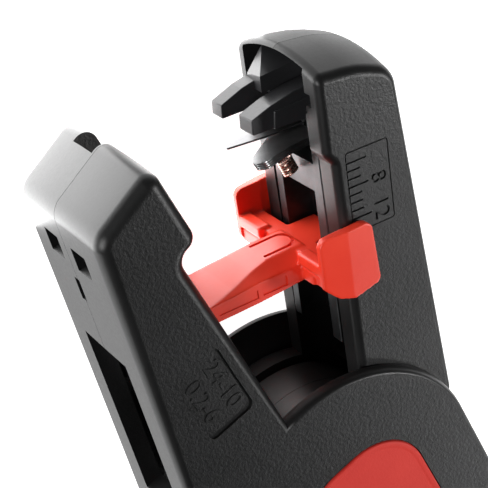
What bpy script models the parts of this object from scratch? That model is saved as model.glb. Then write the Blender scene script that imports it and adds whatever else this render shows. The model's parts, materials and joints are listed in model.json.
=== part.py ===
"""Self-adjusting wire stripper with a length stop.

The pivot axis is the Z axis. The back inlay's flat face lies in the plane Z = 0, and +Y points to the
nose of the fixed jaw. Dimensions are in millimetres, and MM turns them into metres.
The moving jaw is drawn upright, in its own frame, and an empty turns it to its open position.
"""

import math

import bpy
import bmesh
from mathutils import Vector

MM = 0.001
GAP = 0.3                # clearance between neighbouring pieces
INLAY_PROUD = 0.25       # how far an inlay stands above the moulding round it
THICKNESS = 20.0         # the fixed lever, front face to back face
MID = THICKNESS / 2 + INLAY_PROUD
CHEEK = 1.36             # wall of each pivot cheek
DISC_R = 18.2            # pivot cheek
POCKET_R = 18.65         # hub pocket between the cheeks
JAW_HALF = 8.34          # half thickness of the moving jaw
JAW_HUB_R = 13.4
JAW_OPEN = 20.3          # degrees between the jaws at rest
MOUTH_X = -1.84          # mouth line of the fixed jaw
NOSE_X = 1.05            # grip face of the fixed jaw
RAIL_X = 3.4             # mouth face of the moving jaw
CHANNEL_Z = 5.3          # half width of the moving jaw's channel
FIXED_CHANNEL_Z = 5.95   # half width of the fixed jaw's channel
WALL = 2.2
ROOT_HALF = 4.9          # half thickness of the trigger's root
ROOT_R = 12.5
CORE_HALF = 1.5
BORE_R = 4.5
BUSH_R = 4.2
BUSH_BORE_R = 3.3
PIN_R = 3.0
INLAY_DEPTH = 0.65
SCREW_HEAD_R = 2.6
SCREW_SHANK_R = 1.3
EDGE = 1.1               # rounding of the mouldings' rims

PLASTIC = (0.030, 0.030, 0.032)
RED = (0.72, 0.035, 0.02)
STEEL = (0.55, 0.55, 0.56)
DARK_STEEL = (0.12, 0.12, 0.125)
COPPER = (0.55, 0.30, 0.20)


# Scene helpers

def clear_scene():
    for item in list(bpy.data.objects):
        bpy.data.objects.remove(item, do_unlink=True)


def new_collection(name):
    group = bpy.data.collections.new(name)
    bpy.context.scene.collection.children.link(group)
    return group


def finish_of(name, colour, roughness, metallic):
    material = bpy.data.materials.new(name)
    material.use_nodes = True
    shader = material.node_tree.nodes["Principled BSDF"]
    shader.inputs["Base Color"].default_value = (*colour, 1.0)
    shader.inputs["Roughness"].default_value = roughness
    shader.inputs["Metallic"].default_value = metallic
    return material


def dress(piece, colour, roughness, metallic=0.0):
    piece.data.materials.clear()
    piece.data.materials.append(finish_of(piece.name, colour, roughness, metallic))
    return piece


# Outlines

def arc(radius, start, end, step=9.0, centre=(0.0, 0.0)):
    """Corners without rounding along an arc, angles in degrees."""
    count = max(1, round(abs(end - start) / step))
    corners = []
    for i in range(count + 1):
        angle = math.radians(start + (end - start) * i / count)
        corners.append((centre[0] + radius * math.cos(angle), centre[1] + radius * math.sin(angle), 0.0))
    return corners


def rounded(corners, step=22.5):
    """Points of a closed outline, counter-clockwise, each corner (x, y, radius) an arc."""
    points = []
    for i, (x, y, radius) in enumerate(corners):
        corner = Vector((x, y))
        if radius == 0:
            points.append(corner)
            continue
        before = (Vector(corners[i - 1][:2]) - corner).normalized()
        after = (Vector(corners[(i + 1) % len(corners)][:2]) - corner).normalized()
        half = before.angle(after) / 2
        centre = corner + (before + after).normalized() * radius / math.sin(half)
        start = corner + before * radius / math.tan(half) - centre
        sweep = math.pi - 2 * half
        if before.x * after.y - before.y * after.x > 0:
            sweep = -sweep
        count = max(1, round(abs(math.degrees(sweep)) / step))
        for k in range(count + 1):
            turn = sweep * k / count
            points.append(centre + Vector((
                start.x * math.cos(turn) - start.y * math.sin(turn),
                start.x * math.sin(turn) + start.y * math.cos(turn),
            )))
    return points


def grown(corners, amount):
    """The same outline moved outwards, or inwards by a negative amount."""
    area = sum(a[0] * b[1] - b[0] * a[1] for a, b in zip(corners, corners[1:] + corners[:1]))
    moved = []
    for i, (x, y, radius) in enumerate(corners):
        corner = Vector((x, y))
        before = (Vector(corners[i - 1][:2]) - corner).normalized()
        after = (Vector(corners[(i + 1) % len(corners)][:2]) - corner).normalized()
        convex = (after.x * before.y - after.y * before.x) * area > 0
        reach = amount if convex else -amount
        corner -= (before + after).normalized() * reach / math.sin(before.angle(after) / 2)
        moved.append((corner.x, corner.y, max(0.0, radius + reach) if radius else 0.0))
    return moved


# Solids

def add_object(name, mesh, group, frame=None):
    piece = bpy.data.objects.new(name, mesh)
    group.objects.link(piece)
    piece.parent = frame
    if group is cutters:
        piece.hide_render = True
        piece.display_type = "WIRE"
    return piece


def face_outwards(work):
    bmesh.ops.recalc_face_normals(work, faces=work.faces)
    if work.calc_volume(signed=True) < 0:
        bmesh.ops.reverse_faces(work, faces=work.faces)


def slab(name, corners, low, high, group, frame=None, step=22.5):
    """A flat outline in X and Y, filled and extruded from low to high along Z."""
    curve = bpy.data.curves.new(name, "CURVE")
    curve.dimensions = "2D"
    curve.fill_mode = "BOTH"
    curve.extrude = (high - low) / 2 * MM
    points = rounded(corners, step)
    spline = curve.splines.new("POLY")
    spline.points.add(len(points) - 1)
    spline.use_cyclic_u = True
    for place, point in zip(spline.points, points):
        place.co = (point.x * MM, point.y * MM, 0.0, 1.0)
    outline = bpy.data.objects.new(name + "_outline", curve)
    bpy.context.scene.collection.objects.link(outline)
    evaluated = outline.evaluated_get(bpy.context.evaluated_depsgraph_get())
    mesh = bpy.data.meshes.new_from_object(evaluated)
    bpy.data.objects.remove(outline, do_unlink=True)
    work = bmesh.new()
    work.from_mesh(mesh)
    bmesh.ops.remove_doubles(work, verts=work.verts, dist=0.00001)
    bmesh.ops.dissolve_limit(work, angle_limit=math.radians(1), verts=work.verts, edges=work.edges)
    bmesh.ops.translate(work, verts=work.verts, vec=(0, 0, (low + high) / 2 * MM))
    face_outwards(work)
    work.to_mesh(mesh)
    work.free()
    return add_object(name, mesh, group, frame)


def cross_slab(name, corners, low, high, group, frame=None, step=22.5):
    """An outline in X and Z, with Z counted from the mid plane, extruded from low to high along Y."""
    piece = slab(name, corners, -high, -low, group, frame, step)
    piece.rotation_euler = (math.pi / 2, 0, 0)
    piece.location = (0, 0, MID * MM)
    return piece


def block(name, low, high, group, frame=None):
    """A box between two corners."""
    mesh = bpy.data.meshes.new(name)
    work = bmesh.new()
    bmesh.ops.create_cube(work, size=1.0)
    size = [(b - a) * MM for a, b in zip(low, high)]
    centre = [(a + b) / 2 * MM for a, b in zip(low, high)]
    bmesh.ops.scale(work, vec=size, verts=work.verts)
    bmesh.ops.translate(work, vec=centre, verts=work.verts)
    work.to_mesh(mesh)
    work.free()
    return add_object(name, mesh, group, frame)


def rod(name, x, y, radius, low, high, group, frame=None, sides=32):
    """A cylinder along Z."""
    mesh = bpy.data.meshes.new(name)
    work = bmesh.new()
    bmesh.ops.create_cone(work, cap_ends=True, segments=sides, radius1=radius * MM, radius2=radius * MM,
                          depth=(high - low) * MM)
    bmesh.ops.translate(work, vec=(x * MM, y * MM, (low + high) / 2 * MM), verts=work.verts)
    work.to_mesh(mesh)
    work.free()
    return add_object(name, mesh, group, frame)


def spring(name, radius, wire, turns, pitch, group, frame=None, steps=10):
    """A coil along Z that starts at its own origin."""
    curve = bpy.data.curves.new(name, "CURVE")
    curve.dimensions = "3D"
    curve.bevel_depth = wire / 2 * MM
    curve.bevel_resolution = 1
    curve.use_fill_caps = True
    count = round(turns * steps)
    spline = curve.splines.new("POLY")
    spline.points.add(count)
    for i, place in enumerate(spline.points):
        angle = 2 * math.pi * i / steps
        place.co = (radius * math.cos(angle) * MM, radius * math.sin(angle) * MM, pitch * i / steps * MM, 1.0)
    source = bpy.data.objects.new(name + "_wire", curve)
    bpy.context.scene.collection.objects.link(source)
    mesh = bpy.data.meshes.new_from_object(source.evaluated_get(bpy.context.evaluated_depsgraph_get()))
    bpy.data.objects.remove(source, do_unlink=True)
    work = bmesh.new()
    work.from_mesh(mesh)
    bmesh.ops.remove_doubles(work, verts=work.verts, dist=0.00001)
    face_outwards(work)
    work.to_mesh(mesh)
    work.free()
    return add_object(name, mesh, group, frame)


def combine(piece, tool, operation):
    modifier = piece.modifiers.new(tool.name, "BOOLEAN")
    modifier.operation = operation
    modifier.object = tool
    modifier.solver = "EXACT"


def cut(piece, *tools):
    for tool in tools:
        combine(piece, tool, "DIFFERENCE")


def join(piece, *tools):
    for tool in tools:
        combine(piece, tool, "UNION")


def round_rims(piece, width, segments=1, angle=50):
    modifier = piece.modifiers.new("rims", "BEVEL")
    modifier.width = width * MM
    modifier.segments = segments
    modifier.limit_method = "ANGLE"
    modifier.angle_limit = math.radians(angle)


# Fixed lever

BODY_OUTLINE = [
    *arc(DISC_R, 0, 95.8),
    (MOUTH_X, 45.3, 1.5),
    (NOSE_X, 45.7, 1.3),
    (NOSE_X, 57.0, 1.3),
    (-8.4, 54.3, 2.6),
    (-18.9, 7.2, 3.0),
    *arc(DISC_R, 166, 244),
    (-6.3, -20.5, 3.0),
    (-4.4, -56.0, 60.0),
    (-7.5, -118.0, 20.0),
    (-8.5, -129.8, 6.0),
    (15.5, -129.8, 7.0),
    (19.0, -112.0, 20.0),
    (15.8, -70.0, 60.0),
    (18.2, -28.0, 40.0),
]
HANDLE_POCKET = [
    (-3.9, -24.5, 2.0),
    (-2.0, -56.0, 60.0),
    (-5.0, -118.0, 20.0),
    (-5.8, -127.3, 4.0),
    (13.8, -127.3, 5.0),
    (16.4, -112.0, 20.0),
    (13.2, -70.0, 60.0),
    (15.6, -28.0, 10.0),
    (14.0, -24.5, 2.0),
]
INLAY_OUTLINE = [
    (10.0, 6.5, 7.5),
    (-8.2, 6.5, 7.5),
    (-8.0, -14.0, 12.0),
    (0.4, -45.0, 30.0),
    (-2.4, -112.0, 5.0),
    (12.4, -112.0, 5.0),
    (10.2, -40.0, 30.0),
]
BODY_SCREWS = [(5.2, -36.0), (6.0, -76.0), (5.0, -105.0)]
NOTCH_Z = (-5.0, -0.3)   # the clamp's notch in the nose, counted from the mid plane


def body_cutters():
    inner_low = MID - THICKNESS / 2 + CHEEK
    inner_high = MID + THICKNESS / 2 - CHEEK
    tools = [
        rod("hub_pocket", 0, 0, POCKET_R, inner_low, inner_high, cutters, sides=64),
        block("hub_relief", (12, -13, inner_low), (26, 6, inner_high), cutters),
        slab("jaw_channel", [(4, 8, 0), (4, 53.4, 0.6), (-6.6, 51.2, 0.8), (-16.4, 8, 0)],
             MID - FIXED_CHANNEL_Z, MID + FIXED_CHANNEL_Z, cutters),
        block("long_window", (-30, 12, MID - 5), (-9, 36, MID + 5), cutters),
        block("slot_a", (-14, 47.3, MID - 5), (-6, 50.2, MID - 1.65), cutters),
        block("slot_b", (-14, 47.3, MID + 1.65), (-6, 50.2, MID + 5), cutters),
        block("slot_c", (-16, 42.5, MID - 0.9), (-6, 45.4, MID + 0.3), cutters),
        block("nose_notch", (-1.35, 50, MID + NOTCH_Z[0]), (6, 62, MID + NOTCH_Z[1]), cutters),
        slab("handle_pocket", HANDLE_POCKET, MID - THICKNESS / 2 + WALL, MID + THICKNESS / 2 - WALL, cutters),
    ]
    return tools


def inlay_recess(name, low, high, outline):
    return slab(name, grown(outline, GAP), low, high, cutters)


def screw(name, x, y, group_frame, head_low, head_high, tip):
    """A pan-head screw whose head is at the back and whose tip points to the front."""
    head = rod(name, x, y, SCREW_HEAD_R, head_low, head_high, parts, group_frame, sides=24)
    shank = rod(name + "_shank", x, y, SCREW_SHANK_R, head_high - 0.4, tip, cutters, group_frame, sides=16)
    socket = rod(name + "_socket", x, y, 1.1, head_low - 1, head_low + 0.8, cutters, group_frame, sides=6)
    join(head, shank)
    cut(head, socket)
    return dress(head, DARK_STEEL, 0.35, 1.0)


def build_body(tools):
    back = MID - THICKNESS / 2
    front = MID + THICKNESS / 2
    recess_floor = INLAY_DEPTH + GAP
    bosses = [rod(f"boss_{i}", x, y, 3.6, back + 0.8, front - 0.8, cutters, sides=20)
              for i, (x, y) in enumerate(BODY_SCREWS)]
    shank_holes = [rod(f"shank_hole_{i}", x, y, SCREW_SHANK_R + GAP, back + 1, front - 4, cutters, sides=16)
                   for i, (x, y) in enumerate(BODY_SCREWS)]
    head_holes = [rod(f"head_hole_{i}", x, y, SCREW_HEAD_R + GAP, back - 2, back + 2.9, cutters, sides=24)
                  for i, (x, y) in enumerate(BODY_SCREWS)]
    for side, low, high in (("front", -5, MID + GAP / 2), ("back", MID - GAP / 2, 30)):
        half = slab(f"body_{side}_half", BODY_OUTLINE, back, front, parts)
        round_rims(half, EDGE)
        cut(half, *tools)
        join(half, *bosses)
        other = block(f"not_{side}", (-80, -180, low), (80, 90, high), cutters)
        cut(half, other)
        if side == "front":
            floor = front - INLAY_DEPTH - GAP + INLAY_PROUD
            recess = inlay_recess("front_recess", floor, front + 5, INLAY_OUTLINE)
        else:
            recess = inlay_recess("back_recess", -5, recess_floor, INLAY_OUTLINE)
        cut(half, recess, rod(f"{side}_pin_hole", 0, 0, BUSH_BORE_R, -2, front + 2, cutters), *shank_holes)
        if side == "back":
            cut(half, *head_holes)
        dress(half, PLASTIC, 0.5)
    for i, (x, y) in enumerate(BODY_SCREWS):
        screw(f"body_screw_{i + 1}", x, y, None, back + 1.2, back + 2.6, front - 4.6)


def build_inlays(name, outline):
    low = slab(f"{name}back_inlay", outline, 0, INLAY_DEPTH, parts)
    top = 2 * MID
    high = slab(f"{name}front_inlay", outline, top - INLAY_DEPTH, top, parts)
    for piece in (low, high):
        round_rims(piece, 0.2, 1)
        dress(piece, RED, 0.45)


def build_pivot():
    front = MID + THICKNESS / 2
    dress(rod("pivot_pin", 0, 0, PIN_R, INLAY_DEPTH + 2 * GAP, 2 * MID - INLAY_DEPTH - 2 * GAP, parts),
          STEEL, 0.3, 1.0)
    low = MID - THICKNESS / 2 + CHEEK + GAP
    bush = rod("pivot_bush", 0, 0, BUSH_R, low, front - CHEEK - GAP, parts)
    cut(bush, rod("bush_bore", 0, 0, BUSH_BORE_R, -2, front + 2, cutters))
    dress(bush, DARK_STEEL, 0.4, 1.0)
    coil = spring("return_spring", 7.0, 0.8, 1.7, 0.95, parts, steps=20)
    coil.location = (0, 0, (MID + CORE_HALF + 1.75) * MM)
    dress(coil, STEEL, 0.3, 1.0)


def build_fixed_grip():
    """Clamp insert in the fixed nose: a back plate and two fingers."""
    insert = block("fixed_grip_insert", (-6.0, 47.6, MID - 5.6), (-4.1, 50.8, MID + 5.6), parts)
    lower = block("fixed_finger_low", (-5.0, 48.0, MID - 2.4), (0.8, 50.6, MID - 0.7), cutters)
    upper = block("fixed_finger_high", (-5.0, 48.0, MID + 2.8), (0.8, 50.6, MID + 5.4), cutters)
    join(insert, lower, upper)
    dress(insert, PLASTIC, 0.3)


def build_fixed_carriage():
    """Frame that slides along the fixed jaw's channel, open in the middle for the stop's tongue."""
    outline = [(-3.2, 26.0, 0.5), (-3.2, 45.7, 0.5), (-7.4, 45.7, 0.5), (-11.8, 26.0, 0.5)]
    frame = slab("fixed_draw_bar", outline, MID - 5.6, MID + 5.6, parts)
    opening = block("fixed_bar_opening", (-16, 20, MID - 4.6), (2, 42.2, MID + 4.6), cutters)
    face = block("fixed_bar_face", (-4.6, 20, MID - 8), (2, 60, MID + 8), cutters)
    cut(frame, opening, face)
    dress(frame, DARK_STEEL, 0.4, 0.8)
    blade = cross_slab("fixed_blade", [(-1.9, 0, 0.0), (-3.0, 3.0, 0.5), (-7.2, 3.0, 0.0), (-7.2, -3.0, 0.0),
                                       (-3.0, -3.0, 0.5)], 46.0, 46.35, parts)
    dress(blade, STEEL, 0.25, 1.0)


# Moving jaw, in its own upright frame

JAW_OUTLINE = [
    *arc(JAW_HUB_R, 74, 355),
    (16.75, 8.5, 1.5),
    (12.6, 54.9, 3.0),
    (8.0, 56.6, 12.0),
    (2.4, 57.1, 1.3),
    (2.4, 45.9, 1.3),
    (RAIL_X, 44.6, 0.6),
]
JAW_CHANNEL = [(0, 12, 0), (14.3, 12, 0), (11.0, 52.0, 1.0), (8.0, 54.0, 1.0), (0, 54.4, 0)]
NOSE_WINDOW = [(0, 50.4, 0), (5.4, 50.4, 0), (5.4, 60, 0), (0, 60, 0)]   # its top follows the crown
CROWN_R = 20.0
JAW_SCREWS = [(12.0, 22.0), (11.6, 40.0)]


def jaw_side_cutters(frame):
    crown = rod("crown", 0, 0, CROWN_R, -40, 40, cutters, frame, sides=96)
    crown.rotation_euler = (0, math.pi / 2, 0)
    crown.location = (0, 37.2 * MM, MID * MM)
    window = slab("nose_window", NOSE_WINDOW, MID - 6.7, MID + 5.6, cutters, frame)
    arch = rod("nose_arch", 0, 0, CROWN_R - 0.9, -40, 40, cutters, frame, sides=96)
    arch.rotation_euler = crown.rotation_euler
    arch.location = crown.location
    combine(window, arch, "INTERSECT")
    tools = [
        window,
        slab("jaw_slot", JAW_CHANNEL, MID - CHANNEL_Z, MID + CHANNEL_Z, cutters, frame),
        rod("jaw_hub_pocket", 0, 0, JAW_HUB_R + 0.9, MID - CHANNEL_Z, MID + CHANNEL_Z, cutters, frame, 64),
        rod("jaw_bore", 0, 0, BORE_R, -5, 30, cutters, frame),
    ]
    return crown, tools


def build_moving_jaw(frame):
    low = MID - JAW_HALF
    high = MID + JAW_HALF
    crown, tools = jaw_side_cutters(frame)
    top_keep = block("jaw_lower_keep", (-60, -60, -10), (60, 40, 40), cutters, frame)
    join(crown, top_keep)
    bosses = [rod(f"jaw_boss_{i}", x, y, 2.1, low + 1, high - 1, cutters, frame, sides=20)
              for i, (x, y) in enumerate(JAW_SCREWS)]
    holes = [rod(f"jaw_hole_{i}", x, y, 0.9 + GAP, low - 1, high - 2.5, cutters, frame, sides=12)
             for i, (x, y) in enumerate(JAW_SCREWS)]
    heads = [rod(f"jaw_head_hole_{i}", x, y, 1.8 + GAP, low - 1, low + 1.6, cutters, frame, sides=20)
             for i, (x, y) in enumerate(JAW_SCREWS)]
    for side, cut_low, cut_high in (("front", -5, MID + GAP / 2), ("back", MID - GAP / 2, 30)):
        half = slab(f"jaw_{side}_half", JAW_OUTLINE, low, high, parts, frame)
        round_rims(half, 0.8)
        combine(half, crown, "INTERSECT")
        cut(half, *tools)
        join(half, *bosses)
        cut(half, block(f"jaw_not_{side}", (-80, -80, cut_low), (80, 90, cut_high), cutters, frame), *holes)
        if side == "back":
            cut(half, *heads)
        dress(half, PLASTIC, 0.5)
    for i, (x, y) in enumerate(JAW_SCREWS):
        head = rod(f"jaw_screw_{i + 1}", x, y, 1.8, low + 0.1, low + 1.3, parts, frame, sides=20)
        join(head, rod(f"jaw_screw_shank_{i}", x, y, 0.9, low + 1.0, high - 3, cutters, frame, sides=12))
        cut(head, rod(f"jaw_screw_socket_{i}", x, y, 0.8, low - 1, low + 0.7, cutters, frame, sides=6))
        dress(head, DARK_STEEL, 0.35, 1.0)


def build_moving_grip(frame):
    """Clamp insert with a base in the nose's pocket and three fingers at different heights."""
    insert = slab("moving_grip_insert", [(3.2, 46.7, 0), (9.8, 46.7, 0), (9.8, 52.2, 0.8), (7.6, 53.5, 0),
                                         (3.2, 53.8, 0)], MID - 5.0, MID + 5.0, parts, frame)
    back_finger = slab("finger_back", [(4.4, 49.0, 0), (4.4, 51.3, 0), (-2.6, 51.1, 0), (-3.6, 50.4, 0),
                                       (-3.6, 49.3, 0)], MID - 5.0, MID - 2.8, cutters, frame)
    low_finger = slab("finger_low", [(4.4, 48.0, 0), (4.4, 50.6, 0), (-1.8, 50.3, 0), (-2.8, 49.6, 0),
                                     (-2.8, 48.4, 0)], MID - 0.3, MID + 2.4, cutters, frame)
    top_finger = slab("finger_top", [(4.4, 51.7, 0), (4.4, 53.6, 0), (1.6, 53.9, 0), (0.6, 53.6, 0),
                                     (0.6, 51.9, 0)], MID - 4.5, MID - 0.6, cutters, frame)
    join(insert, back_finger, low_finger, top_finger)
    dress(insert, PLASTIC, 0.3)


# Sliding carriage of the moving jaw

WINDOW_Z = (-3.6, 3.2)   # opening of the draw bar, counted from the mid plane
BLADE_TOP = 45.25
BLADE_PITCH = 0.42
BLADE_COUNT = 4
SPRING_TILT = 27.3       # degrees from the pivot's direction towards the handle


def build_draw_bar(frame):
    outline = [(RAIL_X + 0.1, 19.5, 0.4), (8.8, 19.5, 0.4), (8.8, 46.0, 0.4), (RAIL_X + 0.1, 46.0, 0.4)]
    bar = slab("draw_bar", outline, MID - 5.0, MID + 5.0, parts, frame)
    window = block("bar_window", (0, 10.0, MID + WINDOW_Z[0]), (7.3, 39.6, MID + WINDOW_Z[1]), cutters, frame)
    seat = block("blade_seat", (0, 43.2, MID - 8), (6.8, 50, MID + 3.6), cutters, frame)
    cut(bar, window, seat)
    dress(bar, DARK_STEEL, 0.4, 0.8)


def build_blades(frame):
    back = cross_slab("back_blade", [(-3.6, -3.2, 0), (0.9, -4.9, 0), (6.4, -4.9, 0), (6.4, -2.9, 0),
                                     (1.0, -2.7, 0)], 45.45, 45.75, parts, frame)
    dress(back, STEEL, 0.2, 1.0)
    outline = [(-3.3, 1.5, 0.7), (0.8, -2.9, 1.0), (6.4, -2.5, 0), (6.4, 1.6, 0), (2.2, 1.3, 0.5),
               (-2.6, 2.9, 0.7)]
    for i in range(BLADE_COUNT):
        top = BLADE_TOP - i * BLADE_PITCH
        inset = 0.25 * i
        corners = [(x + (inset if x < 0 else 0), z, r) for x, z, r in outline]
        plate = cross_slab(f"blade_plate_{i + 1}", corners, top - 0.3, top, parts, frame)
        dress(plate, STEEL, 0.3, 1.0)
    coil = spring("blade_spring", 1.1, 0.3, 6.0, 0.36, parts, frame, steps=10)
    coil.rotation_euler = (math.radians(SPRING_TILT), 0, 0)
    coil.location = (1.9 * MM, 42.35 * MM, (MID + 0.14) * MM)
    dress(coil, COPPER, 0.3, 1.0)


# Length stop

WING_OUT = 9.9           # outer face of a thumb wing, counted from the mid plane
WING_IN = JAW_HALF + GAP
STOP_LOW = 28.6
STOP_HIGH = 36.5


def build_length_stop(frame):
    """Saddle over the moving jaw's mouth side, with two thumb wings, a guide tab and a tongue."""
    stop = block("length_stop", (-0.5, 29.6, MID - 8.9), (3.0, 33.4, MID + 8.9), parts, frame)
    tab = block("stop_tab", (2.5, 30.0, MID - 3.2), (6.9, 33.0, MID + 2.8), cutters, frame)
    tongue = slab("stop_tongue", [(1.5, 29.9, 0), (1.5, 33.3, 0), (-2.6, 33.2, 8.0), (-8.0, 32.4, 12.0),
                                  (-12.9, 30.8, 0.6), (-12.9, 29.0, 0.4), (-7.5, 29.2, 0)],
                  MID - 4.2, MID + 4.2, cutters, frame, step=9)
    join(stop, tab, tongue)
    for side in (-1, 1):
        profile = [(-0.5, 7.2, 0), (3.0, 7.2, 0), (3.0, WING_IN, 0), (6.8, WING_IN, 0), (6.8, WING_OUT, 0),
                   (2.7, WING_OUT, 0), (-0.5, 8.9, 0.6)]
        corners = [(x, side * z, r) for x, z, r in profile]
        wing = cross_slab(f"stop_wing_{side + 2}", corners if side > 0 else corners[::-1],
                          STOP_LOW, STOP_HIGH, cutters, frame)
        join(stop, wing)
    dress(stop, RED, 0.45)


# Trigger lever, drawn in its open position

def polar(radius, degrees, rounding=0.0):
    return (radius * math.cos(math.radians(degrees)), radius * math.sin(math.radians(degrees)), rounding)


GRIP_OUTLINE = [
    polar(21.6, -168, 2.6),
    polar(21.6, -141, 2.6),
    (-26.5, -26.5, 12.0),
    (-60.0, -62.0, 80.0),
    (-82.5, -93.5, 6.0),
    (-101.0, -84.0, 8.0),
    (-70.0, -43.0, 80.0),
    (-36.0, -8.5, 14.0),
]
ROOT_OUTLINE = [*arc(ROOT_R, -142, 182), polar(26.0, -167), polar(26.0, -144.5)]
CORE_OUTLINE = [*arc(11.0, -156, 172), (-28.5, -12.5, 3.0), (-33.8, -18.4, 3.0), (-28.0, -22.6, 3.0)]
TRIGGER_INLAY = [(-32.0, -20.5, 3.0), (-62.0, -56.5, 30.0), (-83.0, -85.0, 4.0), (-92.5, -80.5, 4.0),
                 (-68.0, -49.5, 30.0), (-37.0, -15.0, 3.0)]
TRIGGER_SCREWS = [(-38.6, -23.4), (-74.4, -69.6), (-84.2, -82.5)]


def build_trigger():
    low = MID - THICKNESS / 2
    high = MID + THICKNESS / 2
    grow = CORE_HALF + GAP
    pocket = slab("grip_pocket", grown(GRIP_OUTLINE, -WALL), low + WALL, high - WALL, cutters)
    core_slot = slab("core_slot", grown(CORE_OUTLINE, GAP), MID - grow, MID + grow, cutters)
    bore = rod("root_bore", 0, 0, BORE_R, -2, 40, cutters)
    spring_well = rod("spring_well", 0, 0, 8.2, MID + CORE_HALF + 1.1, MID + 9, cutters)
    bosses = [rod(f"grip_boss_{i}", x, y, 3.6, low + 1, high - 1, cutters, sides=20)
              for i, (x, y) in enumerate(TRIGGER_SCREWS)]
    shank_r = SCREW_SHANK_R + GAP
    shank_holes = [rod(f"grip_shank_hole_{i}", x, y, shank_r, low + 1, high - 4, cutters, sides=16)
                   for i, (x, y) in enumerate(TRIGGER_SCREWS)]
    head_holes = [rod(f"grip_head_hole_{i}", x, y, SCREW_HEAD_R + GAP, low - 2, low + 2.9, cutters, sides=24)
                  for i, (x, y) in enumerate(TRIGGER_SCREWS)]
    for side, cut_low, cut_high in (("front", -5, MID + GAP / 2), ("back", MID - GAP / 2, 30)):
        half = slab(f"trigger_{side}_half", GRIP_OUTLINE, low, high, parts)
        round_rims(half, EDGE)
        root = slab(f"root_{side}", ROOT_OUTLINE, MID - ROOT_HALF, MID + ROOT_HALF, cutters)
        cut(half, pocket)
        join(half, root, *bosses)
        cut(half, core_slot, bore,
            block(f"trigger_not_{side}", (-180, -180, cut_low), (80, 90, cut_high), cutters), *shank_holes)
        if side == "front":
            recess = inlay_recess("trigger_front_recess", high - INLAY_DEPTH - GAP + INLAY_PROUD, high + 5,
                                  TRIGGER_INLAY)
            cut(half, recess, spring_well)
        else:
            recess = inlay_recess("trigger_back_recess", -5, INLAY_DEPTH + GAP, TRIGGER_INLAY)
            cut(half, recess, *head_holes)
        dress(half, PLASTIC, 0.5)
    for i, (x, y) in enumerate(TRIGGER_SCREWS):
        screw(f"trigger_screw_{i + 1}", x, y, None, low + 1.2, low + 2.6, high - 4.6)
    core = slab("trigger_core", CORE_OUTLINE, MID - CORE_HALF, MID + CORE_HALF, parts)
    cut(core, rod("core_bore", 0, 0, BORE_R, -2, 40, cutters))
    dress(core, STEEL, 0.35, 1.0)


clear_scene()
parts = new_collection("wire_stripper")
cutters = new_collection("cutters")
jaw_frame = bpy.data.objects.new("moving_jaw_frame", None)
parts.objects.link(jaw_frame)
jaw_frame.rotation_euler = (0, 0, math.radians(-JAW_OPEN))

build_body(body_cutters())
build_inlays("", INLAY_OUTLINE)
build_pivot()
build_fixed_grip()
build_fixed_carriage()
build_moving_jaw(jaw_frame)
build_moving_grip(jaw_frame)
build_draw_bar(jaw_frame)
build_blades(jaw_frame)
build_length_stop(jaw_frame)
build_trigger()
build_inlays("trigger_", TRIGGER_INLAY)
bpy.context.view_layer.update()
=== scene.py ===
"""Looks of the wire stripper: fine mouldings, clamp inserts, blades, springs and finishes.

Outlines are in millimetres in the frame of the CAD model, and MM turns them into metres. Pieces of the
moving jaw are drawn upright and turned by JAW, which comes from the frame's own slide axis.
"""

import json
import math

import bpy
import bmesh
from mathutils import Matrix, Vector


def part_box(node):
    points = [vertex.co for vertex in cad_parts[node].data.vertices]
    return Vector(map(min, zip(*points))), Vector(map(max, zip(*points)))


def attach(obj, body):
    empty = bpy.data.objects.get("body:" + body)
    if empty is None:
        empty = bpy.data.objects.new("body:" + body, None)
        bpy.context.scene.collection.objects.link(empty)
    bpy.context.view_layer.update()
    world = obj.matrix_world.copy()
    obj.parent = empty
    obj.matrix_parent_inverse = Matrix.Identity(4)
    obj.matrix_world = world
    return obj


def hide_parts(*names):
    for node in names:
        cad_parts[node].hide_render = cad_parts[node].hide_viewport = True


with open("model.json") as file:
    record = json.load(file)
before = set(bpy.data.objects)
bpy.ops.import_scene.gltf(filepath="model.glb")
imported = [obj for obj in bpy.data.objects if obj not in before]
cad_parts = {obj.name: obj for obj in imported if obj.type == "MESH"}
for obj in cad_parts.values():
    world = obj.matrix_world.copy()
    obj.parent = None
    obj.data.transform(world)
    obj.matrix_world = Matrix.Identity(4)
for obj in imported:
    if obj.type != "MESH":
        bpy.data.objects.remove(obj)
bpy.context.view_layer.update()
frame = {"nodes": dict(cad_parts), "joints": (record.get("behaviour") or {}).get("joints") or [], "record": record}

MM = 0.001
MID = (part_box("front_inlay")[1].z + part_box("back_inlay")[0].z) / 2 / MM
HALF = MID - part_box("body_back_half")[0].z / MM       # half thickness of the fixed lever
JAW_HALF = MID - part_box("jaw_back_half")[0].z / MM
SEAM = 0.03              # half of the hairline between two mouldings
THROUGH = 5.0            # how far a cutter reaches past the surface that it opens
DISC_R = 18.2            # cheeks round the pivot
POCKET_R = 18.65         # room between the cheeks for the hubs
CHEEK = 1.36             # thickness of a cheek
JAW_HUB_R = 13.4
RAIL_X = 3.4             # face of the moving jaw that carries the rails
WALL = 2.2               # thickness of the handles' walls
INLAY_DEPTH = 0.65
INLAY_BED = 0.85         # depth of the recess under an inlay
INLAY_FIT = 0.12         # gap round an inlay
BORE_R = 4.5
PIN_HOLE_R = 3.3
SCREW_HEAD_R = 2.6
SCREW_HEAD_DEPTH = 2.9
SCREW_SHANK_R = 1.3
SCREW_BOSS_R = 3.6
GAP = 0.3                # room round the screws and round the trigger's core


def slide_axis(name):
    """Direction of a joint of the frame."""
    for joint in frame["joints"]:
        if joint["name"] == name:
            return Vector(joint["axis"])
    raise ValueError(name)


UP = slide_axis("stop_adjust")
JAW = Matrix.Rotation(math.atan2(-UP.x, UP.y), 4, "Z")


# Outlines

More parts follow.
